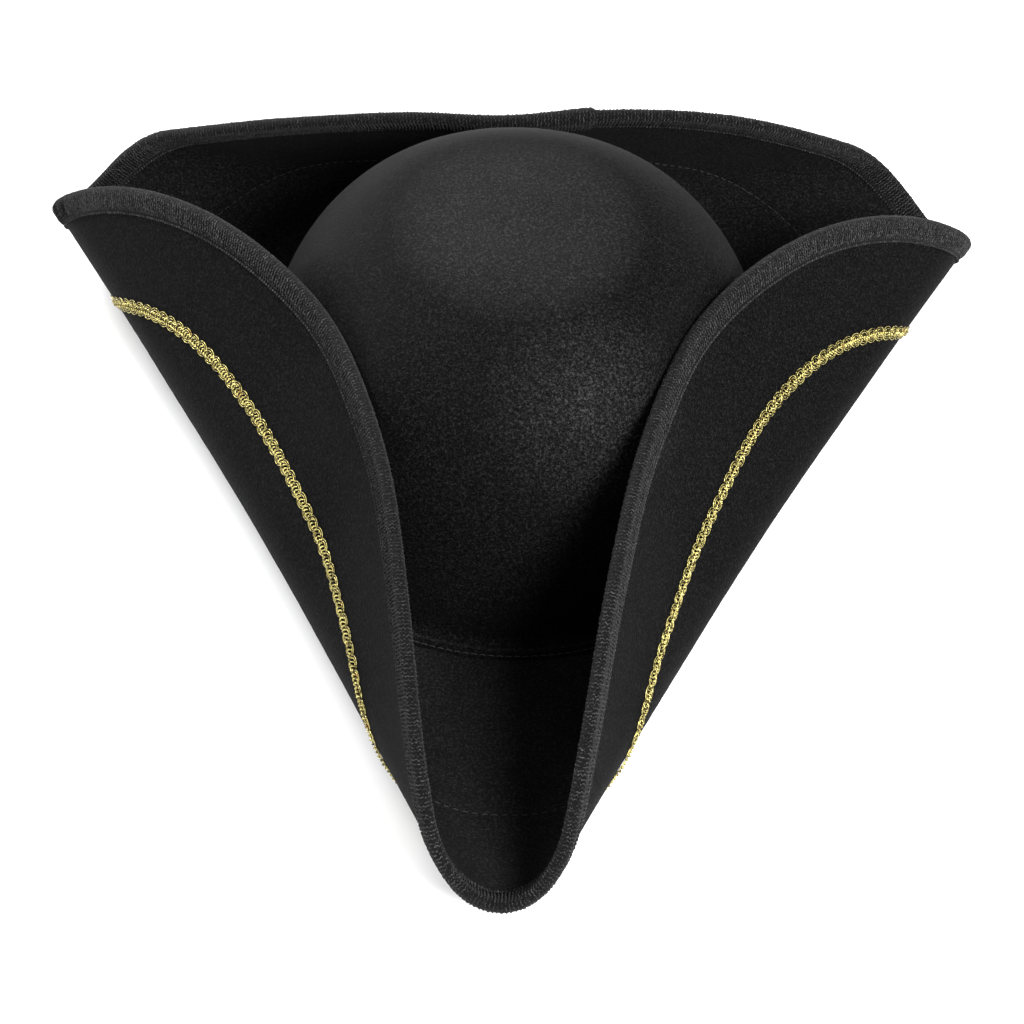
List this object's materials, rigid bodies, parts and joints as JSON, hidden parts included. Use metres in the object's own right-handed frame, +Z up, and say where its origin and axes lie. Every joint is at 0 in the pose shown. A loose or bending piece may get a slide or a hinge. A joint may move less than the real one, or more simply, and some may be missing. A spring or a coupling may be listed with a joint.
{
  "type": "tricorn hat",
  "caption": "Black felt hat with a domed crown and a brim folded up on three sides, its edge bound with tape and trimmed outside with a gold braid.",
  "frame": {"origin": "under the middle of the hat's outline, on the plane it rests on", "axes": "+Z up through the crown, the front point towards -Y, the turned-up back towards +Y, +X towards the wearer's left"},
  "size_m": [0.3634, 0.3546, 0.1221],
  "materials": {
    "felt": "matt pressed felt with a short speckled nap",
    "binding_tape": "matt knitted tape with fine ribs across it",
    "gold_braid": "metallic gold gimp braid with looped edges"
  },
  "bodies": {
    "root": {"crown": "felt", "brim": "felt", "edge_binding": "binding_tape", "gold_braid": "gold_braid"}
  },
  "joints": []
}
